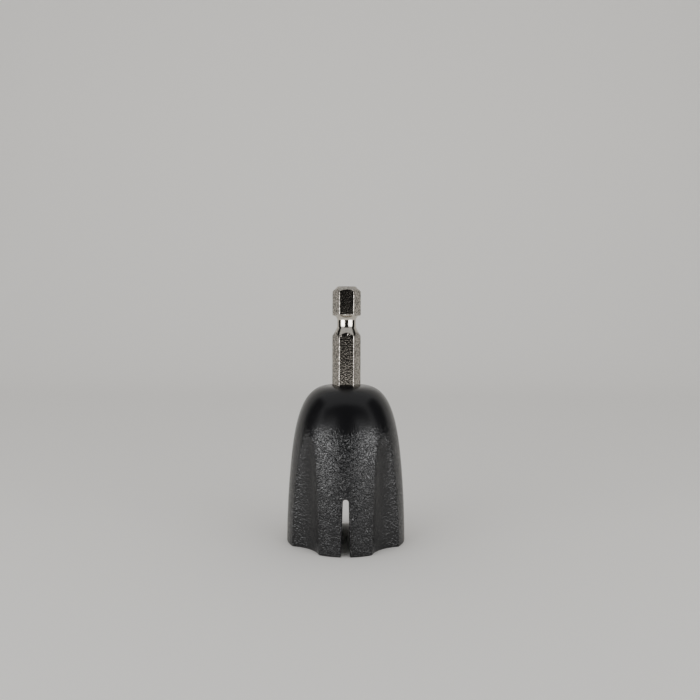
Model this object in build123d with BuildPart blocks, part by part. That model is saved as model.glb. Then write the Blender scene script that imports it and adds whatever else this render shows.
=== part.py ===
from build123d import *
import os
from math import cos, radians, sin, tan

# Drill-driven peg winder: a fluted plastic bell moulded on the root of a 1/4 inch hexagonal bit.
# Millimetres. +Z runs up the bit, and the origin is the centre of the bell's rim.
# The bell's two slots face -Y and +Y.

# Bell, outside
head_height = 39.5
rim_radius = 15.0
skirt_height = 19.0          # where the skirt ends and the long shoulder curve starts
skirt_arc_radius = 223.0     # the skirt leans in along one long arc that is upright at the rim
crown_radius = 4.2           # flat ring round the bit
shoulder_rise = 12.65        # length of the shoulder curve's lower handle, along the skirt
shoulder_reach = 6.9         # length of its upper handle, along the crown

# Flutes: four leaning cylinders that cut the bell between its four panels
flute_count = 4
flute_radius = 8.9
flute_distance = 21.4        # from the bell's axis to the flute's, at the rim
flute_lean = 1.2             # degrees, so that the flutes run out below the shoulder

# Bell, inside: a moulded wall, so that the flutes stand in the cup as four ridges
wall = 2.3                   # at the rim, and a little less under the shoulder
cavity_depth = 27.5
cavity_corner = 0.6          # round between the sides and the ceiling
ridge_round = 0.8            # round where a ridge meets a panel

# Slots in the front and back panels
slot_height = 13.6
slot_rim_width = 2.1
slot_top_width = 1.4

# Outside edges
arris_round = 0.35
rim_round = 0.35

# Bit
across_flats = 6.35
corner_round = 0.2
exposed_length = 25.25
root_length = 11.0           # held in the solid top of the bell
tip_face_radius = 2.35
tip_angle = 45.0             # of the chamfer, from the bit's axis
groove_top = 7.4             # the chuck's detent groove, measured down from the tip
groove_neck = 8.7
groove_neck_end = 10.4
groove_bottom = 12.7
groove_radius = 2.4
root_groove_radius = 2.7     # the plastic locks into this one
root_groove_height = 3.0
root_groove_floor = 4.0      # above the root's end
root_chamfer = 0.6

beyond = 1.0                 # how far a cutter runs past what it cuts
flute_foot = 3.0             # how far below the rim the leaning cutters start
shank_top = head_height + exposed_length
root_bottom = head_height - root_length
hex_radius = across_flats / 2 / cos(radians(30))


def skirt_radius(height):
    """Radius of the bell's skirt at a height: an arc that is upright at the rim."""
    return rim_radius - skirt_arc_radius + (skirt_arc_radius**2 - height**2) ** 0.5


def flute_planes():
    """One plane at the foot of each flute, with its Z along the leaning flute."""
    planes = []
    lean = radians(flute_lean)
    foot_distance = flute_distance - flute_foot * tan(lean)
    for index in range(flute_count):
        turn = radians(360 / flute_count * (index + 0.5))
        foot = (foot_distance * cos(turn), foot_distance * sin(turn), -flute_foot)
        across = (-sin(turn), cos(turn), 0)
        along = (sin(lean) * cos(turn), sin(lean) * sin(turn), cos(lean))
        planes.append(Plane(origin=foot, x_dir=across, z_dir=along))
    return planes


# The bit: a hexagonal bar, turned to a chamfer at both ends, with a detent groove and a root groove
with BuildPart() as hex_shank:
    with BuildSketch(Plane.XY.offset(root_bottom)) as bar_section:
        RegularPolygon(radius=hex_radius, side_count=6)
        fillet(bar_section.vertices(), radius=corner_round)
    extrude(amount=root_length + exposed_length)

    tip_drop = (hex_radius - tip_face_radius) / tan(radians(tip_angle))
    with BuildSketch(Plane.XZ) as turned_profile:
        with BuildLine() as turned_outline:
            Polyline(
                (0, root_bottom),
                (hex_radius - root_chamfer, root_bottom),
                (hex_radius, root_bottom + root_chamfer),
                (hex_radius, shank_top - tip_drop),
                (tip_face_radius, shank_top),
                (0, shank_top),
                close=True,
            )
        make_face()
    revolve(axis=Axis.Z, mode=Mode.INTERSECT)

    # Detent groove: hollow on its upper side, then a short neck and a cone
    with BuildSketch(Plane.XZ) as groove_profile:
        with BuildLine() as groove_outline:
            upper_edge = (hex_radius, shank_top - groove_top)
            neck = (groove_radius, shank_top - groove_neck)
            neck_end = (groove_radius, shank_top - groove_neck_end)
            lower_edge = (hex_radius, shank_top - groove_bottom)
            TangentArc(neck, upper_edge, tangent=(0, 1))
            Polyline(upper_edge, lower_edge, neck_end, neck)
        make_face()
    revolve(axis=Axis.Z, mode=Mode.SUBTRACT)

    # Root groove, filled by the bell's plastic
    with BuildSketch(Plane.XY.offset(root_bottom + root_groove_floor)) as root_groove_section:
        Circle(hex_radius)
        Circle(root_groove_radius, mode=Mode.SUBTRACT)
    extrude(amount=root_groove_height, mode=Mode.SUBTRACT)
hex_shank.part.label = "hex_shank"

# The hollow of the cup, with a ridge left standing behind each flute
with BuildPart() as cavity:
    with BuildSketch(Plane.XZ) as cavity_profile:
        with BuildLine() as cavity_outline:
            mouth = (skirt_radius(-beyond) - wall, -beyond)
            middle = (skirt_radius(cavity_depth / 2) - wall, cavity_depth / 2)
            ceiling = (skirt_radius(cavity_depth) - wall, cavity_depth)
            ThreePointArc(mouth, middle, ceiling)
            Polyline(ceiling, (0, cavity_depth), (0, -beyond), mouth)
        make_face()
    revolve(axis=Axis.Z)
    with BuildSketch(*flute_planes()) as ridge_section:
        Circle(flute_radius + wall)
    extrude(amount=head_height, mode=Mode.SUBTRACT)
    fillet(cavity.edges().filter_by(GeomType.BSPLINE), radius=ridge_round)
    fillet(cavity.faces().sort_by(Axis.Z)[-1].edges(), radius=cavity_corner)

# The bell
with BuildPart() as winder_head:
    with BuildSketch(Plane.XZ) as bell_profile:
        with BuildLine() as bell_outline:
            skirt_top = Vector(skirt_radius(skirt_height), skirt_height)
            crown_edge = Vector(crown_radius, head_height)
            skirt_rise = (skirt_arc_radius**2 - skirt_height**2) ** 0.5
            skirt_slope = Vector(-skirt_height, skirt_rise).normalized()
            ThreePointArc((rim_radius, 0), (skirt_radius(skirt_height / 2), skirt_height / 2), skirt_top)
            Bezier(
                skirt_top,
                skirt_top + skirt_slope * shoulder_rise,
                crown_edge + Vector(shoulder_reach, 0),
                crown_edge,
            )
            Polyline(crown_edge, (0, head_height), (0, 0), (rim_radius, 0))
        make_face()
    revolve(axis=Axis.Z)
    with BuildSketch(*flute_planes()) as flute_section:
        Circle(flute_radius)
    extrude(amount=2 * head_height, mode=Mode.SUBTRACT)
    fillet(winder_head.edges().filter_by(GeomType.BSPLINE), radius=arris_round)
    add(cavity.part, mode=Mode.SUBTRACT)

    # One slot shape, cut through the front and the back panel
    with BuildSketch(Plane.XZ) as slot_section:
        with BuildLine() as slot_outline:
            top_round = slot_top_width / 2
            slot_left = (-slot_rim_width / 2, -beyond)
            slot_right = (slot_rim_width / 2, -beyond)
            ThreePointArc(
                (top_round, slot_height - top_round),
                (0, slot_height),
                (-top_round, slot_height - top_round),
            )
            Polyline(
                (-top_round, slot_height - top_round),
                slot_left,
                slot_right,
                (top_round, slot_height - top_round),
            )
        make_face()
    extrude(amount=rim_radius + beyond, both=True, mode=Mode.SUBTRACT)
    fillet(winder_head.faces().sort_by(Axis.Z)[0].edges(), radius=rim_round)

    # The bit's seat, which fills its root groove
    add(hex_shank.part, mode=Mode.SUBTRACT)
winder_head.part.label = "winder_head"

os.makedirs("parts", exist_ok=True)
for piece in (winder_head, hex_shank):
    export_step(piece.part, f"parts/{piece.part.label}.step")
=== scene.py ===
"""Drill-driven string winder: a fluted, grained plastic bell on a nickel-plated hexagonal bit.

Laid out as an add-on. Run as a script, it loads the frame, builds the two pieces round it and sets the
stage. Lengths are metres. +Z runs up the bit, and the origin is the centre of the bell's rim.
"""

import math

import bmesh
import bpy
import numpy as np
from mathutils import Matrix, Vector


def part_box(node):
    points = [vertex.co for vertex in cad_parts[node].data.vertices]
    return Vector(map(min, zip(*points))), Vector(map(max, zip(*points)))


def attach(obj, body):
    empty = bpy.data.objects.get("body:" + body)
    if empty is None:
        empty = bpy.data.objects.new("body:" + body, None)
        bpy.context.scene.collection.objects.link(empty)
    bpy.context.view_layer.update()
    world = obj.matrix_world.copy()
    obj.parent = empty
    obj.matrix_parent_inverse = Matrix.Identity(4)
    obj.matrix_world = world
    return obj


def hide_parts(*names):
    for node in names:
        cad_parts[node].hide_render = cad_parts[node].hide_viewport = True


bl_info = {
    "name": "String winder",
    "version": (1, 0, 0),
    "blender": (4, 5, 0),
    "location": "3D View > Sidebar > String winder",
    "description": "Builds a fluted peg winder on a hexagonal bit, with its materials and a studio stage",
    "category": "Add Mesh",
}

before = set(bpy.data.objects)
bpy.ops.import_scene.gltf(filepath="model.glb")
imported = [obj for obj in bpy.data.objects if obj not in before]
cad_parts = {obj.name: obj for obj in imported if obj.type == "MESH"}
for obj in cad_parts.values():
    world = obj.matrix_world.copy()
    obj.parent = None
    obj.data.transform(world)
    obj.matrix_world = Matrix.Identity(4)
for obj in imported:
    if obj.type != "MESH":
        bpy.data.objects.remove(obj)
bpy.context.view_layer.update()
head_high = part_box("winder_head")[1]
shank_low, shank_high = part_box("hex_shank")

MM = 0.001
QUARTER = math.pi / 4
FRONT = -math.pi / 2
BACK = math.pi / 2
MERGE_DISTANCE = 0.0005 * MM     # points closer than this become one


def srgb(code):
    """Linear colour from an sRGB hex code."""
    parts = [int(code[i:i + 2], 16) / 255 for i in (1, 3, 5)]
    return [part / 12.92 if part <= 0.04045 else ((part + 0.055) / 1.055)**2.4 for part in parts]


# ---------------------------------------------------------------- settings

def length(name, description, default):
    """A length property in metres."""
    return bpy.props.FloatProperty(name=name, description=description, default=default, unit="LENGTH")


def colour(name, description, code):
    """A colour property whose default is an sRGB hex code."""
    return bpy.props.FloatVectorProperty(
        name=name, description=description, default=srgb(code), subtype="COLOR", min=0, max=1)


class HeadSettings(bpy.types.PropertyGroup):
    """Sizes and colour of the moulded bell."""

    height: length("Height", "From the rim to the crown", head_high.z)
    rim_radius: length("Rim radius", "From the axis to a panel's middle at the rim", head_high.x)
    wall: length("Wall", "Thickness of the moulded wall", 2.3 * MM)
    cavity_depth: length("Cavity depth", "From the rim to the cup's ceiling", 27.5 * MM)
    flute_radius: length("Flute radius", "Radius of each concave flute", 8.9 * MM)
    flute_distance: length("Flute distance", "From the bell's axis to a flute's axis", 21.4 * MM)
    flute_lean: bpy.props.FloatProperty(
        name="Flute lean", description="How far a flute's axis leans out", default=math.radians(1.2),
        subtype="ANGLE")
    slot_height: length("Slot height", "From the rim to the slot's round end", 13.6 * MM)
    slot_rim_width: length("Slot width at the rim", "Widest part of the slot", 2.1 * MM)
    slot_top_width: length("Slot width at the top", "Width of the slot's round end", 1.4 * MM)
    grain_size: length("Grain size", "Width of one cell of the moulded grain", 0.5 * MM)
    plastic: colour("Plastic", "Colour of the moulded plastic", "#0D0D0F")


class ShankSettings(bpy.types.PropertyGroup):
    """Sizes and colour of the hexagonal bit."""

    across_flats: length("Across flats", "Size of the hexagon", shank_high.y - shank_low.y)
    tip_face_radius: length("Tip face radius", "Radius of the flat end", 2.35 * MM)
    groove_radius: length("Groove radius", "Radius of the detent groove's neck", 2.4 * MM)
    plating: colour("Plating", "Colour of the nickel plate", "#D0CAC0")
    # Painted shade: the darker colour the plate is given in each pit of its bump and along the drawing
    # lines' grooves, below the plating's own colour
    shaded_pits: colour("Pits", "Colour of the plate in its pits", "#6E6A66")


class StageSettings(bpy.types.PropertyGroup):
    """The floor, the lights and the camera."""

    floor: colour("Floor", "Colour of the paper sweep", "#F8F6F2")
    camera_distance: length("Camera distance", "From the camera to the winder's axis", 190 * MM)
    camera_height: length("Camera height", "Above the rim", 57.2 * MM)


# ---------------------------------------------------------------- geometry helpers

def clustered(count, ends=0.75):
    """count + 1 numbers from 0 to 1, closer together at both ends: t - ends * sin(2 pi t) / (2 pi)."""
    t = np.linspace(0, 1, count + 1)
    return t - ends * np.sin(2 * math.pi * t) / (2 * math.pi)


def soft_min(a, b, width):
    """The lesser of two values, with the corner between them rounded off over a width."""
    near = np.clip(1 - np.abs(a - b) / width, 0, 1)
    return np.minimum(a, b) - near**2 * width / 4


def smooth_step(low, high, value):
    """0 below low, 1 above high, and 3t^2 - 2t^3 between them."""
    t = np.clip((value - low) / (high - low), 0, 1)
    return t * t * (3 - 2 * t)


def grid_faces(rows, columns, first=0):
    """Quads of a grid whose points are stored row after row, as four columns of indices."""
    index = first + np.arange(rows * columns).reshape(rows, columns)
    corners = (index[:-1, :-1], index[:-1, 1:], index[1:, 1:], index[1:, :-1])
    return np.stack([corner.ravel() for corner in corners], axis=1)


def build_piece(name, points, faces, layers):
    """A smooth-shaded object from numpy arrays, its doubles merged and its faces turned outwards.
    layers holds one number per point for each attribute that a material reads."""
    mesh = bpy.data.meshes.new(name)
    mesh.from_pydata(points.tolist(), [], faces.tolist())
    for label, values in layers.items():
        mesh.attributes.new(label, "FLOAT", "POINT").data.foreach_set("value", values.astype(np.float32))
    work = bmesh.new()
    work.from_mesh(mesh)
    bmesh.ops.remove_doubles(work, verts=work.verts, dist=MERGE_DISTANCE)
    bmesh.ops.recalc_face_normals(work, faces=work.faces)
    work.to_mesh(mesh)
    work.free()
    mesh.shade_smooth()
    made = bpy.data.objects.new(name, mesh)
    bpy.context.scene.collection.objects.link(made)
    return made


# ---------------------------------------------------------------- the bell

# Profile
SKIRT_TOP = 19.0 * MM            # where the skirt ends and the long shoulder curve starts
SKIRT_ARC = 223.0 * MM           # radius of the skirt's arc
SHOULDER_RISE = 12.65 * MM       # length of the shoulder curve's lower handle, along the skirt
SHOULDER_REACH = 6.9 * MM        # length of its upper handle, along the crown
CROWN_RADIUS = 4.2 * MM
ROOT_LENGTH = 11.0 * MM          # of the bit, held in the crown

# Panels and flutes
FLUTE_END = 28.5 * MM            # height by which the flutes have run out
PANEL_RADIUS = 12.5 * MM         # of a panel at the rim, about a centre off the axis
PANEL_FADE = 0.35                # share of FLUTE_END at which that crown starts to fade
OPEN_ANGLE = math.radians(9)     # least half angle of the grid's columns over a flute
OPEN_FADE = 0.6                  # share of FLUTE_END at which that least angle comes in

# Rounded edges
ARRIS_SOFTNESS = 0.3 * MM
RIDGE_SOFTNESS = 1.2 * MM
RIM_ROUND = 0.35 * MM
SLOT_ROUND = 0.2 * MM
SEAT_ROUND = 0.15 * MM
CEILING_ROUND = 0.6 * MM
SEAT_GAP = 0.02 * MM             # keeps the seat clear of the bit

# Grid
ROW_STEP = 0.4 * MM
INNER_STEP = 1.5 * ROW_STEP
SHOULDER_ROWS = 70
SLOT_ROWS = 31
SLOT_END_ROWS = 8
EDGE_STEPS = 4                   # across a rounded edge
FACE_STEPS = 3                   # across the flat of a cut wall
COLUMNS = (20, 28, 38, 28, 20)   # between the front slot, the four arrises and the back slot

# Grain
FLUTE_GRAIN = 0.4                # its strength in a flute, beside 1 on a panel
RIM_GRAIN = 1.6                  # its strength at the rim, which falls to 1 at half height
# Distance below the crown at which it starts to fade, and at which it is gone
GRAIN_FADE = (15.0 * MM, 7.0 * MM)
# The flute's wall less the skirt's radius, where a flute's grain starts to grow and where it is a panel's
PANEL_EDGE = (-0.9 * MM, -0.1 * MM)


def skirt_radius(head, z):
    """Radius of the skirt at a height: an arc that stands upright at the rim."""
    return head.rim_radius - SKIRT_ARC + np.sqrt(SKIRT_ARC**2 - z**2)


def shoulder_curve(head, t):
    """Radius and height on the shoulder, a cubic Bezier from the skirt, at t = 0, to the crown, at t = 1."""
    start = np.array([skirt_radius(head, SKIRT_TOP), SKIRT_TOP])
    rise = np.array([-SKIRT_TOP, math.sqrt(SKIRT_ARC**2 - SKIRT_TOP**2)]) / SKIRT_ARC
    end = np.array([CROWN_RADIUS, head.height])
    points = (start, start + rise * SHOULDER_RISE, end + np.array([SHOULDER_REACH, 0]), end)
    weights = ((1 - t)**3, 3 * t * (1 - t)**2, 3 * t**2 * (1 - t), t**3)
    curve = sum(weight[:, None] * point for weight, point in zip(weights, points))
    return curve[:, 0], curve[:, 1]


def flute_distance(head, z):
    """Distance from the bell's axis to a leaning flute's axis at a height."""
    return head.flute_distance + z * math.tan(head.flute_lean)


def flute_wall(head, angle, z, radius):
    """Radius at which a ray at an angle from the bell's axis meets the nearest flute cylinder."""
    off = np.abs(np.abs(angle) - QUARTER)
    distance = flute_distance(head, z)
    inside = radius**2 - (distance * np.sin(off))**2
    met = distance * np.cos(off) - np.sqrt(np.maximum(inside, 0))
    return np.where(inside > 0, met, 1.0)


def arris_angle(head, z, panel, radius):
    """Angle from a flute's middle to its arris, from the triangle of panel radius, flute radius and
    distance. Above the flute's end it settles at OPEN_ANGLE, as the root of the sum of the two squares,
    so that the grid stays open."""
    distance = flute_distance(head, z)
    cosine = (panel**2 + distance**2 - radius**2) / (2 * panel * distance)
    met = np.arccos(np.clip(cosine, -1, 1))
    least = OPEN_ANGLE * smooth_step(OPEN_FADE * FLUTE_END, FLUTE_END, z)
    return np.sqrt(met**2 + least**2)


def column_angles(edge, arris):
    """Angles of a row's columns, from the front slot round +X to the back slot. edge is the slot's half
    angle. Between the slots and the four arrises the columns are closer together at the ends."""
    knots = (FRONT + edge, -QUARTER - arris, -QUARTER + arris, QUARTER - arris, QUARTER + arris, BACK - edge)
    spans = []
    for index, count in enumerate(COLUMNS):
        share = clustered(count)[min(index, 1):]
        low, high = knots[index][:, None], knots[index + 1][:, None]
        spans.append(low + (high - low) * share)
    return np.concatenate(spans, axis=1)


def panel_crown(head, radius, angle, z):
    """Radius of a panel that is rounder than the bell: at the rim its own radius is PANEL_RADIUS, about a
    centre off the axis, and the difference fades out towards the shoulder."""
    off = np.abs(np.mod(angle + QUARTER, 2 * QUARTER) - QUARTER)
    fade = 1 - smooth_step(PANEL_FADE * FLUTE_END, FLUTE_END, z)
    centre = radius * (1 - PANEL_RADIUS / head.rim_radius) * fade
    return centre * np.cos(off) + np.sqrt((radius - centre)**2 - (centre * np.sin(off))**2)


def outside_radius(head, angle, radius, z):
    """Radius of the bell's outside: the lesser of the panel and the flute, with a rounded arris."""
    panel = panel_crown(head, radius, angle, z)
    return soft_min(panel, flute_wall(head, angle, z, head.flute_radius), ARRIS_SOFTNESS)


def inside_radius(head, angle, z):
    """Radius of the cup's inside: the wall's thickness in from the panels and from the flutes."""
    panel = skirt_radius(head, z) - head.wall
    return soft_min(panel, flute_wall(head, angle, z, head.flute_radius + head.wall), RIDGE_SOFTNESS)


def slot_outline(head):
    """The right half of the slot's outline from the rim up to its round end: x, z and the normal out of
    the slot. The sides are straight and lean in, and the end is a quarter circle in equal angles."""
    end_radius = head.slot_top_width / 2
    end_centre = head.slot_height - end_radius
    side = np.linspace(RIM_ROUND, end_centre, SLOT_ROWS + 1)[:-1]
    side_x = np.interp(side, [0, end_centre], [head.slot_rim_width / 2, end_radius])
    turn = np.linspace(0, math.pi / 2, SLOT_END_ROWS + 1)
    x = np.concatenate([side_x, end_radius * np.cos(turn)])
    z = np.concatenate([side, end_centre + end_radius * np.sin(turn)])
    normal_x = np.concatenate([np.ones_like(side), np.cos(turn)])
    normal_z = np.concatenate([np.zeros_like(side), np.sin(turn)])
    return x, z, normal_x, normal_z


def seat_radius(angle):
    """Radius of the hexagonal seat at an angle: half the flats' distance over the cosine from the nearest
    flat's normal, cut off at the bit's rounded corners."""
    flats = (shank_high.y - shank_low.y) / 2
    corners = shank_high.x
    off = np.mod(angle, math.pi / 3) - math.pi / 6
    return np.minimum(flats / np.cos(off), corners) + SEAT_GAP


def wall_section(edge):
    """A path round a cut wall's two edges: two quarter circles of radius edge with a flat between them.
    Gives how far each point lies back from the cut face, how far it has come through the two rounds, and
    its share of the flat between them."""
    turn = np.linspace(0, math.pi / 2, EDGE_STEPS + 1)
    flat = np.linspace(0, 1, FACE_STEPS + 1)[1:-1]
    back = np.concatenate([edge * (1 - np.sin(turn)), 0 * flat, edge * (1 - np.cos(turn))])
    way = np.concatenate([edge * (1 - np.cos(turn)), 0 * flat + edge, edge + edge * np.sin(turn)])
    share = np.concatenate([0 * turn, flat, 0 * turn + 1])
    return back, way, share


def rows_at(angle, radius, z, grain=0.0):
    """Rows of points with their grain, from angles, radii and heights that broadcast together."""
    x, y = radius * np.cos(angle), radius * np.sin(angle)
    return np.stack([x, y, np.broadcast_to(z, x.shape), np.broadcast_to(grain, x.shape)], axis=-1)


def seat_rows(head, angle):
    """Rows from the middle of the seat's floor out and up its six sides, and over its mouth to the
    crown."""
    seat = seat_radius(angle)
    floor = head.height - ROOT_LENGTH
    rows = [rows_at(angle, seat * 0, floor)]
    for height in np.linspace(floor, head.height - SEAT_ROUND, 6):
        rows.append(rows_at(angle, seat, height))
    mouth = 0.3 * SEAT_ROUND
    rows.append(rows_at(angle, seat + mouth, head.height - mouth))
    for share in np.linspace(0, 1, 4)[:-1]:
        ring = seat + SEAT_ROUND + (CROWN_RADIUS - seat - SEAT_ROUND) * share
        rows.append(rows_at(angle, ring, head.height))
    return rows


def rim_rows(outer_row, inner_row):
    """Rows round the rim, from the last outside row to the first inside row, along two rounds and a
    flat."""
    through = inner_row[:, :2] - outer_row[:, :2]
    thickness = np.linalg.norm(through, axis=-1, keepdims=True)
    rows = []
    for back, way, share in list(zip(*wall_section(RIM_ROUND)))[1:-1]:
        place = outer_row[:, :2] + through / thickness * (way + share * (thickness - 2 * RIM_ROUND))
        height = np.full((len(place), 1), back)
        rows.append(np.concatenate([place, height, height * 0], axis=-1)[None])
    return rows


def ceiling_rows(head, angle, radius):
    """Rows from the top of the cup's side over a quarter round and across the ceiling to its middle."""
    rows = []
    for turn in np.linspace(0, math.pi / 2, EDGE_STEPS + 1)[1:]:
        drop = CEILING_ROUND * (1 - math.sin(turn))
        rows.append(rows_at(angle, radius - CEILING_ROUND * (1 - math.cos(turn)), head.cavity_depth - drop))
    for share in (0.75, 0.5, 0.25, 0.0):
        rows.append(rows_at(angle, (radius - CEILING_ROUND) * share, head.cavity_depth))
    return rows


def slot_lining(outline, outer_end, inner_end, foot):
    """The strip that lines half a slot, from each row's outside end to its inside end. foot is the rim's
    run of points across the wall, which closes the strip below."""
    x, z, normal_x, normal_z = outline
    back, way, share = wall_section(SLOT_ROUND)
    depth = inner_end[:, 1:2] - outer_end[:, 1:2]
    lining = np.zeros((len(x), len(back), 4))
    lining[..., 0] = x[:, None] + normal_x[:, None] * back
    lining[..., 1] = outer_end[:, 1:2] + np.sign(depth) * (way + share * (np.abs(depth) - 2 * SLOT_ROUND))
    lining[..., 2] = z[:, None] + normal_z[:, None] * back
    lining[:, 0], lining[:, -1] = outer_end, inner_end
    return np.concatenate([foot[None], lining])


def half_bell(head):
    """The bell's half on the +X side as one grid, and the strips that line its two slots.

    A row runs from the front slot round to the back slot, and the rows run from the seat's floor up the
    seat, over the crown, down the outside, round the rim, up the inside and over the ceiling to its
    middle."""
    outline = slot_x, slot_z, normal_x, normal_z = slot_outline(head)
    edge_x = slot_x + normal_x * SLOT_ROUND
    edge_z = slot_z + normal_z * SLOT_ROUND
    count = len(slot_x)

    # Outside: shoulder, then skirt, then the stretch beside the slot
    shoulder_r, shoulder_z = shoulder_curve(head, 1 - np.linspace(0, 1, SHOULDER_ROWS + 1)[:-1])
    skirt_count = int((SKIRT_TOP - edge_z[-1]) / ROW_STEP)
    skirt_z = np.linspace(SKIRT_TOP, edge_z[-1], skirt_count + 1)[:-1]
    outer_z = np.concatenate([shoulder_z, skirt_z, edge_z[::-1]])
    outer_r = np.concatenate([shoulder_r, skirt_radius(head, skirt_z), skirt_radius(head, edge_z[::-1])])
    outer_edge = np.zeros_like(outer_z)
    outer_edge[-count:] = np.arcsin(edge_x[::-1] / outer_r[-count:])
    end_radius = np.interp(FLUTE_END, shoulder_z[::-1], shoulder_r[::-1])
    arris = arris_angle(
        head, np.minimum(outer_z, FLUTE_END), np.maximum(outer_r, end_radius), head.flute_radius)
    angle = column_angles(outer_edge, arris)
    column_r, column_z = outer_r[:, None], outer_z[:, None]
    outside = rows_at(
        angle, outside_radius(head, angle, column_r, column_z), column_z,
        grain_share(head, angle, column_r, column_z))

    # Inside: the same heights beside the slot, then plain rows up to the ceiling's round
    inner_top = head.cavity_depth - CEILING_ROUND
    inner_count = int((inner_top - edge_z[-1]) / INNER_STEP)
    inner_z = np.concatenate([edge_z, np.linspace(edge_z[-1], inner_top, inner_count + 1)[1:]])
    panel = skirt_radius(head, inner_z) - head.wall
    inner_edge = np.zeros_like(inner_z)
    inner_edge[:count] = np.arcsin(edge_x / panel[:count])
    arris = arris_angle(head, inner_z, panel, head.flute_radius + head.wall)
    inner_angle = column_angles(inner_edge, arris)
    inner_radius = inside_radius(head, inner_angle, inner_z[:, None])
    inside = rows_at(inner_angle, inner_radius, inner_z[:, None])

    # The crown's columns stand at the angles they have where the flutes end
    arris = arris_angle(head, np.array([FLUTE_END]), end_radius, head.flute_radius)
    top = seat_rows(head, column_angles(np.zeros(1), arris))
    rim = np.concatenate([outside[-1:], *rim_rows(outside[-1], inside[0]), inside[:1]])
    ceiling = ceiling_rows(head, inner_angle[-1:], inner_radius[-1:])
    grid = np.concatenate([*top, outside, rim[1:-1], inside, *ceiling])

    linings = []
    for column in (0, -1):
        outer_end, inner_end = outside[-count:, column][::-1], inside[:count, column]
        linings.append(slot_lining(outline, outer_end, inner_end, rim[:, column]))
    return grid, linings


def grain_share(head, angle, radius, z):
    """How strongly the moulded grain shows: full on the panels and deeper still towards the rim, fainter
    in the flutes, and gone on the polished shoulder."""
    gap = flute_wall(head, angle, z, head.flute_radius) - radius
    on_panel = smooth_step(PANEL_EDGE[0], PANEL_EDGE[1], gap)
    below = 1 - smooth_step(head.height - GRAIN_FADE[0], head.height - GRAIN_FADE[1], z)
    deeper = RIM_GRAIN + (1 - RIM_GRAIN) * smooth_step(0, head.height / 2, z)
    return (FLUTE_GRAIN + (1 - FLUTE_GRAIN) * on_panel) * below * deeper


def make_head(head):
    """The whole bell: the half on the +X side and its mirror image, merged along their common edge."""
    grid, linings = half_bell(head)
    points, faces, first = [], [], 0
    for part in (grid, *linings):
        for side in (1, -1):
            copy = part.reshape(-1, 4) * np.array([side, 1, 1, 1])
            quads = grid_faces(part.shape[0], part.shape[1], first)
            points.append(copy)
            faces.append(quads if side > 0 else quads[:, ::-1])
            first += len(copy)
    points = np.concatenate(points)
    return build_piece("fluted_bell", points[:, :3], np.concatenate(faces), {"grain": points[:, 3]})


# ---------------------------------------------------------------- the bit

CORNER_ROUND = 0.2 * MM
GROOVE_TOP = 7.4 * MM            # the detent groove's four heights, measured down from the tip
GROOVE_NECK = 8.7 * MM
GROOVE_NECK_END = 10.4 * MM
GROOVE_BOTTOM = 12.7 * MM
ROOT_GROOVE_RADIUS = 2.7 * MM
ROOT_GROOVE_FLOOR = 4.0 * MM     # above the root's end
ROOT_GROOVE_HEIGHT = 3.0 * MM
ROOT_CHAMFER = 0.6 * MM
EDGE_BEVEL = 0.07 * MM
SHARP_ANGLE = math.radians(20)   # edges that turn by more than this are bevelled
CORNER_STEPS = 6
FLAT_STEPS = 12
GROOVE_POLISH = 1.0              # how smooth turning left the detent groove, the tip's chamfer and its end: less bump, lower roughness and less painted pit shade in the colour
CHAMFER_POLISH = 0.6
END_POLISH = 0.3


def hexagon_section(shank):
    """Angles and radii round a hexagon with rounded corners, two of which lie on -X and +X: six arcs of
    one sixth turn, each about a centre that lies a corner radius in from its two flats, joined by
    straight flats."""
    reach = (shank.across_flats / 2 - CORNER_ROUND) / math.cos(math.pi / 6)
    turn = np.linspace(-math.pi / 6, math.pi / 6, CORNER_STEPS + 1)
    angles = np.arange(6) * math.pi / 3
    normals = angles[:, None] + turn
    x = reach * np.cos(angles)[:, None] + CORNER_ROUND * np.cos(normals)
    y = reach * np.sin(angles)[:, None] + CORNER_ROUND * np.sin(normals)
    share = np.linspace(0, 1, FLAT_STEPS + 1)[1:-1]
    flat_x = x[:, -1:] + (np.roll(x[:, 0], -1)[:, None] - x[:, -1:]) * share
    flat_y = y[:, -1:] + (np.roll(y[:, 0], -1)[:, None] - y[:, -1:]) * share
    x = np.concatenate([x, flat_x], axis=1).ravel()
    y = np.concatenate([y, flat_y], axis=1).ravel()
    return np.arctan2(y, x), np.hypot(x, y)


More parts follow.
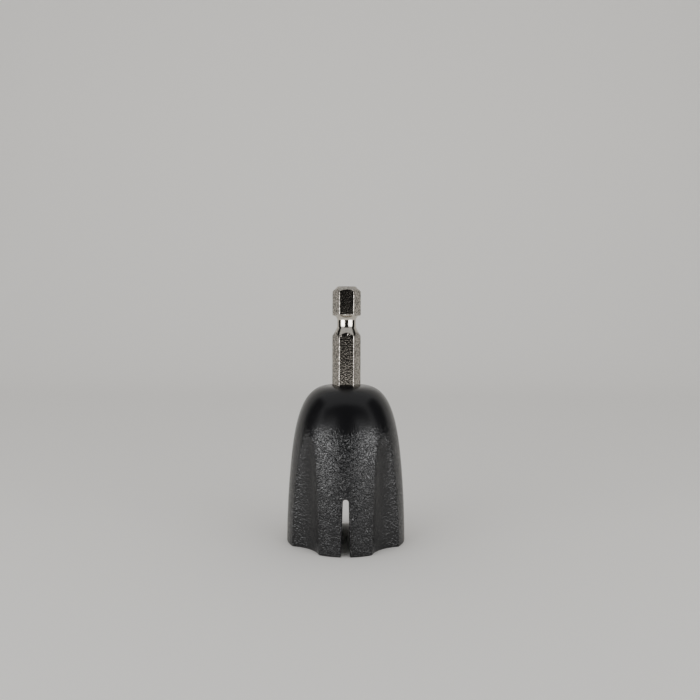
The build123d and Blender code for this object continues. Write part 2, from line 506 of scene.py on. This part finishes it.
def make_shank(shank):
    """The bit as one grid. Its columns stand at fixed angles round the hexagon, and its rows follow the
    edges where a cone or a hollow turned about the axis cuts the flats, so that the scallops come out
    crisp."""
    angle, hexagon = hexagon_section(shank)
    top, bottom = shank_high.z, shank_low.z
    corner = shank.across_flats / 2 / math.cos(math.pi / 6)
    neck_z, neck_end, neck = top - GROOVE_NECK, top - GROOVE_NECK_END, shank.groove_radius
    reach = corner - neck
    hollow = (reach**2 + (GROOVE_NECK - GROOVE_TOP)**2) / (2 * reach)
    cone = (neck_end - (top - GROOVE_BOTTOM)) / reach
    whole = np.ones_like(hexagon)
    rows = []

    def add_span(low, high, count, profile=None, polish=0.0):
        """Rows between two edges, each a radius and a height per column, or along a turned profile."""
        for share in np.linspace(0, 1, count + 1):
            radius = low[0] + (high[0] - low[0]) * share
            z = low[1] + (high[1] - low[1]) * share
            if profile:
                radius = profile(z)
            x, y = radius * np.cos(angle), radius * np.sin(angle)
            rows.append(np.stack([x, y, z, whole * polish], axis=-1))

    def hollow_radius(z):
        """Radius of the groove's upper side, an arc that leaves the neck upright."""
        return neck + hollow - np.sqrt(hollow**2 - (z - neck_z)**2)

    root_floor = bottom + ROOT_GROOVE_FLOOR
    root_roof = root_floor + ROOT_GROOVE_HEIGHT
    end_radius = corner - ROOT_CHAMFER
    root_end = (whole * end_radius, whole * bottom)
    root_edge = (hexagon, bottom + (hexagon - end_radius))
    root_neck_low = (whole * ROOT_GROOVE_RADIUS, whole * root_floor)
    root_neck_high = (whole * ROOT_GROOVE_RADIUS, whole * root_roof)
    cone_edge = (hexagon, neck_end - (hexagon - neck) * cone)
    neck_low = (whole * neck, whole * neck_end)
    neck_high = (whole * neck, whole * neck_z)
    hollow_edge = (hexagon, neck_z + np.sqrt(hollow**2 - (hollow - (hexagon - neck))**2))
    tip_edge = (hexagon, top - (hexagon - shank.tip_face_radius))
    tip_face = (whole * shank.tip_face_radius, whole * top)
    add_span((whole * 0, whole * bottom), root_end, 3)
    add_span(root_end, root_edge, 2)
    add_span(root_edge, (hexagon, whole * root_floor), 4)
    add_span((hexagon, whole * root_floor), root_neck_low, 1)
    add_span(root_neck_low, root_neck_high, 3)
    add_span(root_neck_high, (hexagon, whole * root_roof), 1)
    add_span((hexagon, whole * root_roof), cone_edge, 24)
    add_span(cone_edge, neck_low, 8, polish=GROOVE_POLISH)
    add_span(neck_low, neck_high, 2, polish=GROOVE_POLISH)
    add_span(neck_high, hollow_edge, 16, profile=hollow_radius, polish=GROOVE_POLISH)
    add_span(hollow_edge, tip_edge, 14)
    add_span(tip_edge, tip_face, 5, polish=CHAMFER_POLISH)
    add_span(tip_face, (whole * 0, whole * top), 5, polish=END_POLISH)
    grid = np.stack(rows)
    grid = np.concatenate([grid, grid[:, :1]], axis=1)
    faces = grid_faces(grid.shape[0], grid.shape[1])
    flat = grid.reshape(-1, 4)
    made = build_piece("hex_bit", flat[:, :3], faces, {"polish": flat[:, 3]})
    bevel = made.modifiers.new("edge_rounds", "BEVEL")
    bevel.width, bevel.segments = EDGE_BEVEL, 2
    bevel.limit_method, bevel.angle_limit = "ANGLE", SHARP_ANGLE
    return made


# ---------------------------------------------------------------- materials

GRAIN_DEPTH = 0.08 * MM
RIB_SCALE = 0.95                 # the ribs' noise cells to one grain, and the finer bumps' on them
BUMP_SCALE = 1.4
RIB_STRETCH = 0.75               # width of the ribs' cells as a share of their height
RIB_EDGE = 0.2                   # how far from the noise's middle value a rib is at full height
BUMP_SHARE = 0.4                 # height of those bumps beside the ribs'
SPECK_SIZE = 0.4 * MM
SPECK_DEPTH = 0.06 * MM
LINE_SIZE = 0.4 * MM             # across the drawing lines
LINE_STRETCH = 0.03              # their cells' width as a share of their length
LINE_SHARE = 0.6                 # their depth beside the specks'
MOTTLE_SCALE = 900.0             # the paper's mottles to a metre


def add_node(tree, kind, settings, sockets):
    """Add a node, set its own settings, and give each socket a value or another node's output."""
    made = tree.nodes.new(kind)
    for name, value in settings.items():
        setattr(made, name, value)
    for name, value in sockets.items():
        if isinstance(value, bpy.types.NodeSocket):
            tree.links.new(value, made.inputs[name])
        else:
            made.inputs[name].default_value = value
    return made


def new_material(name):
    """A material whose node tree is still empty, and that tree."""
    material = bpy.data.materials.new(name)
    material.use_nodes = True
    material.node_tree.nodes.clear()
    return material, material.node_tree


def grained_plastic(head):
    """Black ABS, injection moulded in a tool whose panels and flutes were etched and whose shoulder was
    polished. The eye sees short wormy ribs that catch the lights as specks, with dark gaps between them,
    and a glossy dark shoulder. The ribs are plateaus of a noise, cut apart where the noise passes through
    its middle value."""
    material, tree = new_material("black_moulded_abs")
    place = add_node(tree, "ShaderNodeTexCoord", {}, {})
    share = add_node(tree, "ShaderNodeAttribute", {"attribute_name": "grain"}, {})
    stretch = add_node(tree, "ShaderNodeMapping", {}, {
        "Vector": place.outputs["Object"], "Scale": (1.0, 1.0, RIB_STRETCH)})
    worms = add_node(tree, "ShaderNodeTexNoise", {}, {
        "Vector": stretch.outputs["Vector"], "Scale": RIB_SCALE / head.grain_size,
        "Detail": 1.0, "Distortion": 0.3})
    middle = add_node(tree, "ShaderNodeMath", {"operation": "SUBTRACT"}, {0: worms.outputs["Fac"], 1: 0.5})
    away = add_node(tree, "ShaderNodeMath", {"operation": "ABSOLUTE"}, {0: middle.outputs["Value"]})
    ribs = add_node(tree, "ShaderNodeMapRange", {"interpolation_type": "SMOOTHSTEP"}, {
        "Value": away.outputs["Value"], "From Min": 0.0, "From Max": RIB_EDGE})
    bumps = add_node(tree, "ShaderNodeTexNoise", {}, {
        "Vector": place.outputs["Object"], "Scale": BUMP_SCALE / head.grain_size, "Detail": 1.0})
    relief = add_node(tree, "ShaderNodeMath", {"operation": "MULTIPLY_ADD"}, {
        0: bumps.outputs["Fac"], 1: BUMP_SHARE, 2: ribs.outputs["Result"]})
    height = add_node(tree, "ShaderNodeMath", {"operation": "MULTIPLY"}, {
        0: relief.outputs["Value"], 1: share.outputs["Fac"]})
    bump = add_node(tree, "ShaderNodeBump", {}, {
        "Strength": 1.0, "Distance": GRAIN_DEPTH, "Height": height.outputs["Value"]})
    rough = add_node(tree, "ShaderNodeMapRange", {}, {
        "Value": share.outputs["Fac"], "To Min": 0.26, "To Max": 0.21})
    shader = add_node(tree, "ShaderNodeBsdfPrincipled", {}, {
        "Base Color": (*head.plastic, 1), "IOR": 1.45,
        "Roughness": rough.outputs["Result"], "Normal": bump.outputs["Normal"]})
    add_node(tree, "ShaderNodeOutputMaterial", {}, {"Surface": shader.outputs["BSDF"]})
    return material


def nickel_plate(shank):
    """Nickel plate on a steel bar shaped by drawing, then tumbled in a barrel. The eye sees a dark satin
    facet sown with pinpoints of light, faint drawing lines along it, rounded corners that catch the lights,
    and a smoother turned groove and tip. The colour carries painted light: it is lighter on the raised
    specks (painted glints) and darker in each pit and along the drawing lines' grooves (painted shade); the
    turned groove and tip keep more of the plating's own colour."""
    material, tree = new_material("satin_nickel_plate")
    place = add_node(tree, "ShaderNodeTexCoord", {}, {})
    polish = add_node(tree, "ShaderNodeAttribute", {"attribute_name": "polish"}, {})
    speck = add_node(tree, "ShaderNodeTexNoise", {}, {
        "Vector": place.outputs["Object"], "Scale": 1 / SPECK_SIZE, "Detail": 2.0, "Roughness": 0.5})
    along = add_node(tree, "ShaderNodeMapping", {}, {
        "Vector": place.outputs["Object"], "Scale": (1.0, 1.0, LINE_STRETCH)})
    lines = add_node(tree, "ShaderNodeTexNoise", {}, {
        "Vector": along.outputs["Vector"], "Scale": 1 / LINE_SIZE, "Detail": 3.0})
    relief = add_node(tree, "ShaderNodeMath", {"operation": "MULTIPLY_ADD"}, {
        0: lines.outputs["Fac"], 1: LINE_SHARE, 2: speck.outputs["Fac"]})
    rest = add_node(tree, "ShaderNodeMapRange", {}, {
        "Value": polish.outputs["Fac"], "To Min": 1.0, "To Max": 0.08})
    height = add_node(tree, "ShaderNodeMath", {"operation": "MULTIPLY"}, {
        0: relief.outputs["Value"], 1: rest.outputs["Result"]})
    bump = add_node(tree, "ShaderNodeBump", {}, {
        "Strength": 1.0, "Distance": SPECK_DEPTH, "Height": height.outputs["Value"]})
    # Painted light: the plating's own colour on the raised specks of the bump (painted glints), the darker
    # pit colour in its low places (painted shade)
    painted_glints = add_node(tree, "ShaderNodeMapRange", {}, {
        "Value": speck.outputs["Fac"], "From Min": 0.4, "From Max": 0.6})
    # The turned faces keep the plating's own colour, without the painted pit shade
    glints_and_turned_faces = add_node(tree, "ShaderNodeMath", {"operation": "MAXIMUM"}, {
        0: painted_glints.outputs["Result"], 1: polish.outputs["Fac"]})
    # Painted shade along the drawing lines: the colour is up to a quarter darker in their grooves
    line_groove_shade = add_node(tree, "ShaderNodeMapRange", {}, {
        "Value": lines.outputs["Fac"], "From Min": 0.35, "From Max": 0.65, "To Min": 0.75, "To Max": 1.0})
    painted_light_share = add_node(tree, "ShaderNodeMath", {"operation": "MULTIPLY"}, {
        0: glints_and_turned_faces.outputs["Value"], 1: line_groove_shade.outputs["Result"]})
    # The plate's colour, with its painted glints and painted shade
    plate_with_painted_light = add_node(tree, "ShaderNodeMix", {"data_type": "RGBA"}, {
        "Factor": painted_light_share.outputs["Value"], 6: (*shank.shaded_pits, 1), 7: (*shank.plating, 1)})
    rough = add_node(tree, "ShaderNodeMapRange", {}, {
        "Value": polish.outputs["Fac"], "To Min": 0.14, "To Max": 0.12})
    shader = add_node(tree, "ShaderNodeBsdfPrincipled", {}, {
        "Base Color": plate_with_painted_light.outputs[2], "Metallic": 1.0,
        "Roughness": rough.outputs["Result"], "Normal": bump.outputs["Normal"]})
    add_node(tree, "ShaderNodeOutputMaterial", {}, {"Surface": shader.outputs["BSDF"]})
    return material


def matt_paper(tone):
    """Matt background paper: the eye sees one even tone with no shine. tone is a linear colour."""
    material, tree = new_material("matt_paper")
    place = add_node(tree, "ShaderNodeTexCoord", {}, {})
    mottle = add_node(tree, "ShaderNodeTexNoise", {}, {
        "Vector": place.outputs["Object"], "Scale": MOTTLE_SCALE})
    rough = add_node(tree, "ShaderNodeMapRange", {}, {
        "Value": mottle.outputs["Fac"], "To Min": 0.85, "To Max": 0.95})
    shader = add_node(tree, "ShaderNodeBsdfPrincipled", {}, {
        "Base Color": (*tone, 1), "Roughness": rough.outputs["Result"]})
    add_node(tree, "ShaderNodeOutputMaterial", {}, {"Surface": shader.outputs["BSDF"]})
    return material


# ---------------------------------------------------------------- the stage

# The paper sweep, in metres
SWEEP_BEND = 0.25                # radius of the bend between the floor and the wall
SWEEP_BACK = 0.35                # where the bend starts, along Y
SWEEP_FRONT = -0.8               # the floor's front edge, along Y
SWEEP_TALL = 1.2                 # height of the wall
SWEEP_HALF = 1.4                 # half the width

# Each flag: its angle from the camera's direction, and in metres its distance, half width and two heights
FLAGS = (
    (0, 0.28, 0.115, 0.004, 0.19),
    (0, 0.28, 0.5, 0.19, 0.42),
    (math.radians(-92), 0.35, 0.13, 0.004, 0.4),
    (math.radians(92), 0.35, 0.13, 0.004, 0.4),
)
FLAG_TONE = "#0A0A0A"

# The two strip lights, in metres
STRIP_ANGLE = math.radians(47)   # from the camera's direction
STRIP_DISTANCE = 0.36
STRIP_WIDTH = 0.30
STRIP_HEIGHT = 0.08
STRIP_CLEARANCE = 0.004          # above the floor
LEFT_RADIANCE = 11.0
RIGHT_RADIANCE = 10.0
ROOM_RADIANCE = 0.65

# The camera
LENS = 38.1                      # focal length in millimetres
SENSOR = 36                      # sensor width in millimetres
SHIFT_DOWN = 0.0486              # of the sensor, as a share of its width
ROLL = math.radians(0.22)
SIDE_STEP = 0.87 * MM            # off the winder's middle plane


def make_sweep():
    """The paper sweep: a floor that curves up behind into a wall, one profile carried along X."""
    turn = np.linspace(0, math.pi / 2, 17)
    y = np.concatenate([[SWEEP_FRONT], SWEEP_BACK + SWEEP_BEND * np.sin(turn), [SWEEP_BACK + SWEEP_BEND]])
    z = np.concatenate([[0], SWEEP_BEND * (1 - np.cos(turn)), [SWEEP_TALL]])
    x = np.linspace(-SWEEP_HALF, SWEEP_HALF, 9)
    grid = np.stack(np.broadcast_arrays(x[None, :], y[:, None], z[:, None]), axis=-1)
    mesh = bpy.data.meshes.new("paper_sweep")
    mesh.from_pydata(grid.reshape(-1, 3).tolist(), [], grid_faces(len(y), len(x)).tolist())
    mesh.shade_smooth()
    made = bpy.data.objects.new("paper_sweep", mesh)
    bpy.context.scene.collection.objects.link(made)
    return made


def make_flags():
    """Black cards round the winder: a T behind the camera, so that the faces turned to the camera and the
    shoulder reflect no light, and one at each side, so that the arrises stand out dark. Only reflections
    show them: the camera and the matt paper don't see them."""
    corners, faces = [], []
    for azimuth, distance, half, low, high in FLAGS:
        turned = Matrix.Rotation(azimuth, 4, "Z")
        faces.append(range(len(corners), len(corners) + 4))
        corners += [turned @ Vector((x, -distance, z)) for x, z in (
            (-half, low), (half, low), (half, high), (-half, high))]
    mesh = bpy.data.meshes.new("black_flags")
    mesh.from_pydata(corners, [], faces)
    made = bpy.data.objects.new("black_flags", mesh)
    made.visible_camera = False
    made.visible_diffuse = False
    bpy.context.scene.collection.objects.link(made)
    return made


def add_strip(name, azimuth, radiance):
    """A wide low strip softbox at an angle from the camera's direction, just clear of the floor and facing
    the winder. Its power follows from its radiance: power = pi * area * radiance."""
    light = bpy.data.lights.new(name, "AREA")
    light.shape, light.size, light.size_y = "RECTANGLE", STRIP_WIDTH, STRIP_HEIGHT
    light.energy = math.pi * STRIP_WIDTH * STRIP_HEIGHT * radiance
    place = Vector((
        STRIP_DISTANCE * math.sin(azimuth), -STRIP_DISTANCE * math.cos(azimuth),
        STRIP_HEIGHT / 2 + STRIP_CLEARANCE))
    aim = Vector((0, 0, place.z))
    made = bpy.data.objects.new(name, light)
    made.location = place
    made.rotation_euler = (aim - place).to_track_quat("-Z", "Y").to_euler()
    bpy.context.scene.collection.objects.link(made)


def light_room():
    """An evenly lit room round the stage."""
    world = bpy.data.worlds.new("room")
    world.use_nodes = True
    background = world.node_tree.nodes["Background"]
    background.inputs["Color"].default_value = (1, 1, 1, 1)
    background.inputs["Strength"].default_value = ROOM_RADIANCE
    bpy.context.scene.world = world


def add_camera(stage):
    """A camera in front of the winder, not tilted, with its lens shifted down to take in the rim."""
    camera = bpy.data.cameras.new("camera")
    camera.sensor_width, camera.lens, camera.shift_y = SENSOR, LENS, -SHIFT_DOWN
    camera.clip_start = 0.01
    made = bpy.data.objects.new("camera", camera)
    made.matrix_world = (
        Matrix.Translation((SIDE_STEP, -stage.camera_distance, stage.camera_height))
        @ Matrix.Rotation(math.pi / 2, 4, "X") @ Matrix.Rotation(ROLL, 4, "Z"))
    bpy.context.scene.collection.objects.link(made)
    bpy.context.scene.camera = made


# ---------------------------------------------------------------- operators

class WINDER_OT_head(bpy.types.Operator):
    """Build the grained bell and let it stand for the frame's head"""

    bl_idname = "winder.head"
    bl_label = "Bell"

    def execute(self, context):
        head = context.scene.winder_head
        made = make_head(head)
        made.data.materials.append(grained_plastic(head))
        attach(made, "root")
        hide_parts("winder_head")
        return {"FINISHED"}


class WINDER_OT_shank(bpy.types.Operator):
    """Build the hexagonal bit and let it stand for the frame's shank"""

    bl_idname = "winder.shank"
    bl_label = "Bit"

    def execute(self, context):
        shank = context.scene.winder_shank
        made = make_shank(shank)
        made.data.materials.append(nickel_plate(shank))
        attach(made, "root")
        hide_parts("hex_shank")
        return {"FINISHED"}


class WINDER_OT_stage(bpy.types.Operator):
    """Lay the paper sweep and set the lights and the camera"""

    bl_idname = "winder.stage"
    bl_label = "Stage"

    def execute(self, context):
        stage = context.scene.winder_stage
        make_sweep().data.materials.append(matt_paper(stage.floor))
        make_flags().data.materials.append(matt_paper(srgb(FLAG_TONE)))
        add_strip("strip_left", -STRIP_ANGLE, LEFT_RADIANCE)
        add_strip("strip_right", STRIP_ANGLE, RIGHT_RADIANCE)
        light_room()
        add_camera(stage)
        return {"FINISHED"}


class WINDER_PT_panel(bpy.types.Panel):
    """Lists the operators and the main sizes"""

    bl_idname = "WINDER_PT_panel"
    bl_label = "String winder"
    bl_space_type = "VIEW_3D"
    bl_region_type = "UI"
    bl_category = "String winder"

    def draw(self, context):
        scene = context.scene
        for kind, settings in ((WINDER_OT_head, scene.winder_head), (WINDER_OT_shank, scene.winder_shank),
                               (WINDER_OT_stage, scene.winder_stage)):
            box = self.layout.box()
            for name in settings.__annotations__:
                box.prop(settings, name)
            box.operator(kind.bl_idname)


CLASSES = (HeadSettings, ShankSettings, StageSettings, WINDER_OT_head, WINDER_OT_shank, WINDER_OT_stage,
           WINDER_PT_panel)


def register():
    """Register the classes and hang the settings on the scene."""
    for kind in CLASSES:
        bpy.utils.register_class(kind)
    bpy.types.Scene.winder_head = bpy.props.PointerProperty(type=HeadSettings)
    bpy.types.Scene.winder_shank = bpy.props.PointerProperty(type=ShankSettings)
    bpy.types.Scene.winder_stage = bpy.props.PointerProperty(type=StageSettings)


def unregister():
    """Take the settings and the classes away again."""
    del bpy.types.Scene.winder_head, bpy.types.Scene.winder_shank, bpy.types.Scene.winder_stage
    for kind in reversed(CLASSES):
        bpy.utils.unregister_class(kind)


def main():
    """Build the winder and its stage."""
    register()
    bpy.ops.winder.head()
    bpy.ops.winder.shank()
    bpy.ops.winder.stage()


if __name__ == "__main__":
    main()
